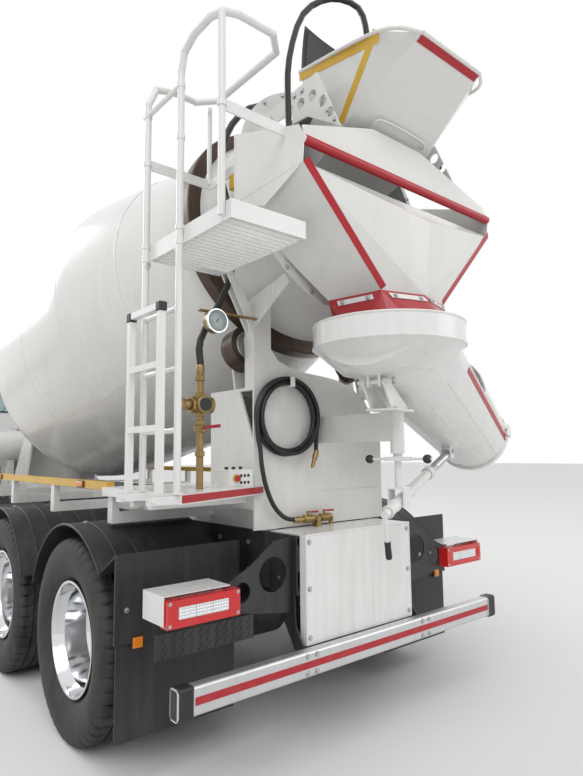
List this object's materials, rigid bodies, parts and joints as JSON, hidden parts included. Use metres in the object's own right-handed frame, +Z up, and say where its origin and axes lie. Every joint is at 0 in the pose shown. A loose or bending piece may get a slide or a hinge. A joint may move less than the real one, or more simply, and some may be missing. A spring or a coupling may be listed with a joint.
{
  "type": "concrete mixer truck",
  "caption": "Rigid concrete mixer truck with tilted drum, rear loading hopper, swivel discharge chute, steered front wheels and opening cab doors.",
  "frame": {"origin": "centre of the whole vehicle's box, on the ground under the tyres", "axes": "+X to the front of the truck, +Y to its left, +Z up"},
  "size_m": [8.75, 2.86, 3.8571],
  "materials": {
    "body_paint": "cream-white satin enamel",
    "white_paint": "white satin enamel",
    "cab_paint": "white gloss enamel",
    "black_paint": "black chassis enamel",
    "black_plastic": "black moulded plastic",
    "yellow_paint": "yellow enamel",
    "red_paint": "red enamel",
    "lamp_red": "clear red plastic",
    "cast_metal": "rough cast",
    "tank_metal": "brushed",
    "brass": "dull",
    "hose_rubber": "matt",
    "glass": "clear",
    "lamp_clear": "clear",
    "zinc": "zinc plated",
    "wheel": "black rubber tyres on pressed-steel rims"
  },
  "bodies": {
    "chassis": {"chassis_frame": "black_paint", "mixer_subframe": "white_paint", "side_strips": "yellow_paint", "engine_block": "cast_metal", "running_gear": "black_paint", "fuel_tank": "tank_metal", "equipment_boxes": "black_paint", "water_tank": "body_paint", "front_pedestal": "body_paint", "drum_gearbox": "cast_metal", "rear_pedestal": "body_paint", "mudguards": "black_plastic", "tail_lamps": "lamp_red", "rear_panel": "white_paint", "underrun_bar": "white_paint", "access_platform": "white_paint", "service_deck": "white_paint", "charging_hopper": "body_paint", "discharge_collector": "body_paint", "collector_collar": "red_paint", "chute_arm": "body_paint", "water_fittings": "brass", "water_hoses": "hose_rubber", "wash_hose_coil": "hose_rubber", "wash_hose_tail": "hose_rubber", "wash_hose_nozzle": "brass", "cab_shell": "cab_paint", "front_bumper": "cab_paint", "front_grille": "black_plastic", "headlamps": "lamp_clear", "cab_glass": "glass", "mirrors": "black_plastic", "cab_interior": "black_plastic"},
    "drum": {"mixer_drum": "body_paint"},
    "roller_left": {"roller_left": "cast_metal"},
    "roller_right": {"roller_right": "cast_metal"},
    "ladder": {"fold_ladder": "white_paint"},
    "swivel": {"chute_swivel": "white_paint"},
    "chute": {"chute": "white_paint"},
    "chute_extension": {"chute_extension": "white_paint"},
    "jack_barrel": {"jack_barrel": "white_paint"},
    "jack_rod": {"jack_rod": "zinc"},
    "door_left": {"door_left": "cab_paint", "door_glass_left": "glass"},
    "door_right": {"door_right": "cab_paint", "door_glass_right": "glass"},
    "knuckle_1_left": {"knuckle_1_left": "black_paint"},
    "knuckle_1_right": {"knuckle_1_right": "black_paint"},
    "knuckle_2_left": {"knuckle_2_left": "black_paint"},
    "knuckle_2_right": {"knuckle_2_right": "black_paint"},
    "wheel_1_left": {"wheel_1_left": "wheel"},
    "wheel_1_right": {"wheel_1_right": "wheel"},
    "wheel_2_left": {"wheel_2_left": "wheel"},
    "wheel_2_right": {"wheel_2_right": "wheel"},
    "wheel_3_left": {"wheel_3_left": "wheel"},
    "wheel_3_right": {"wheel_3_right": "wheel"},
    "wheel_4_left": {"wheel_4_left": "wheel"},
    "wheel_4_right": {"wheel_4_right": "wheel"}
  },
  "joints": [
    {"name": "steer_1_left", "type": "hinge", "parent": "chassis", "child": "knuckle_1_left", "pos_m": [2.975, 0.89, 0.525], "axis": [0, 0, 1], "range_deg": [-35, 35]},
    {"name": "steer_1_right", "type": "hinge", "parent": "chassis", "child": "knuckle_1_right", "pos_m": [2.975, -0.89, 0.525], "axis": [0, 0, 1], "range_deg": [-35, 35]},
    {"name": "steer_2_left", "type": "hinge", "parent": "chassis", "child": "knuckle_2_left", "pos_m": [1.025, 0.89, 0.525], "axis": [0, 0, 1], "range_deg": [-25, 25]},
    {"name": "steer_2_right", "type": "hinge", "parent": "chassis", "child": "knuckle_2_right", "pos_m": [1.025, -0.89, 0.525], "axis": [0, 0, 1], "range_deg": [-25, 25]},
    {"name": "spin_1_left", "type": "hinge", "parent": "knuckle_1_left", "child": "wheel_1_left", "pos_m": [2.975, 1.025, 0.525], "axis": [0, 1, 0], "continuous": true},
    {"name": "spin_1_right", "type": "hinge", "parent": "knuckle_1_right", "child": "wheel_1_right", "pos_m": [2.975, -1.025, 0.525], "axis": [0, 1, 0], "continuous": true},
    {"name": "spin_2_left", "type": "hinge", "parent": "knuckle_2_left", "child": "wheel_2_left", "pos_m": [1.025, 1.025, 0.525], "axis": [0, 1, 0], "continuous": true},
    {"name": "spin_2_right", "type": "hinge", "parent": "knuckle_2_right", "child": "wheel_2_right", "pos_m": [1.025, -1.025, 0.525], "axis": [0, 1, 0], "continuous": true},
    {"name": "spin_3_left", "type": "hinge", "parent": "chassis", "child": "wheel_3_left", "pos_m": [-1.305, 1.025, 0.525], "axis": [0, 1, 0], "continuous": true},
    {"name": "spin_3_right", "type": "hinge", "parent": "chassis", "child": "wheel_3_right", "pos_m": [-1.305, -1.025, 0.525], "axis": [0, 1, 0], "continuous": true},
    {"name": "spin_4_left", "type": "hinge", "parent": "chassis", "child": "wheel_4_left", "pos_m": [-2.675, 1.025, 0.525], "axis": [0, 1, 0], "continuous": true},
    {"name": "spin_4_right", "type": "hinge", "parent": "chassis", "child": "wheel_4_right", "pos_m": [-2.675, -1.025, 0.525], "axis": [0, 1, 0], "continuous": true},
    {"name": "drum_spin", "type": "hinge", "parent": "chassis", "child": "drum", "pos_m": [-3.875, 0, 3.012], "axis": [0.9833, 0, -0.1822], "continuous": true},
    {"name": "roller_left_spin", "type": "hinge", "parent": "chassis", "child": "roller_left", "pos_m": [-3.20315, 0.44765, 2.09892], "axis": [0.9833, 0, -0.1822], "continuous": true},
    {"name": "roller_right_spin", "type": "hinge", "parent": "chassis", "child": "roller_right", "pos_m": [-3.20315, -0.44765, 2.09892], "axis": [0.9833, 0, -0.1822], "continuous": true},
    {"name": "door_left_hinge", "type": "hinge", "parent": "chassis", "child": "door_left", "pos_m": [4.0485, 1.214, 2], "axis": [0, 0, -1], "range_deg": [0, 70]},
    {"name": "door_right_hinge", "type": "hinge", "parent": "chassis", "child": "door_right", "pos_m": [4.0485, -1.214, 2], "axis": [0, 0, 1], "range_deg": [0, 70]},
    {"name": "ladder_fold", "type": "hinge", "parent": "chassis", "child": "ladder", "pos_m": [-3.43, 1.225, 1.3], "axis": [-1, 0, 0], "range_deg": [0, 180]},
    {"name": "chute_swing", "type": "hinge", "parent": "chassis", "child": "swivel", "pos_m": [-3.945, 0, 1.6], "axis": [0, 0, 1], "range_deg": [-185, 8]},
    {"name": "chute_tilt", "type": "hinge", "parent": "swivel", "child": "chute", "pos_m": [-4.01642, 0.23958, 1.842], "axis": [0.9583, 0.2857, 0], "range_deg": [-10, 6]},
    {"name": "extension_fold", "type": "hinge", "parent": "chute", "child": "chute_extension", "pos_m": [-3.56229, -1.28377, 1.60113], "axis": [0.9583, 0.2857, 0], "range_deg": [0, 180]},
    {"name": "jack_pivot", "type": "hinge", "parent": "swivel", "child": "jack_barrel", "pos_m": [-3.945, 0, 1.245], "axis": [0.9583, 0.2857, 0], "range_deg": [-12, 8]},
    {"name": "jack_screw", "type": "slide", "parent": "jack_barrel", "child": "jack_rod", "axis": [0.2738, -0.9185, 0.2851], "range_m": [-0.13, 0.13]}
  ],
  "couplings": [
    {"joint": "steer_1_right", "follows": "steer_1_left", "ratio": 1},
    {"joint": "steer_2_left", "follows": "steer_1_left", "ratio": 0.7},
    {"joint": "steer_2_right", "follows": "steer_1_left", "ratio": 0.7},
    {"joint": "roller_left_spin", "follows": "drum_spin", "ratio": -6.16},
    {"joint": "roller_right_spin", "follows": "drum_spin", "ratio": -6.16},
    {"joint": "jack_pivot", "follows": "chute_tilt", "ratio": 1.0842},
    {"joint": "jack_screw", "follows": "chute_tilt", "m_per_rad": -0.6435}
  ]
}
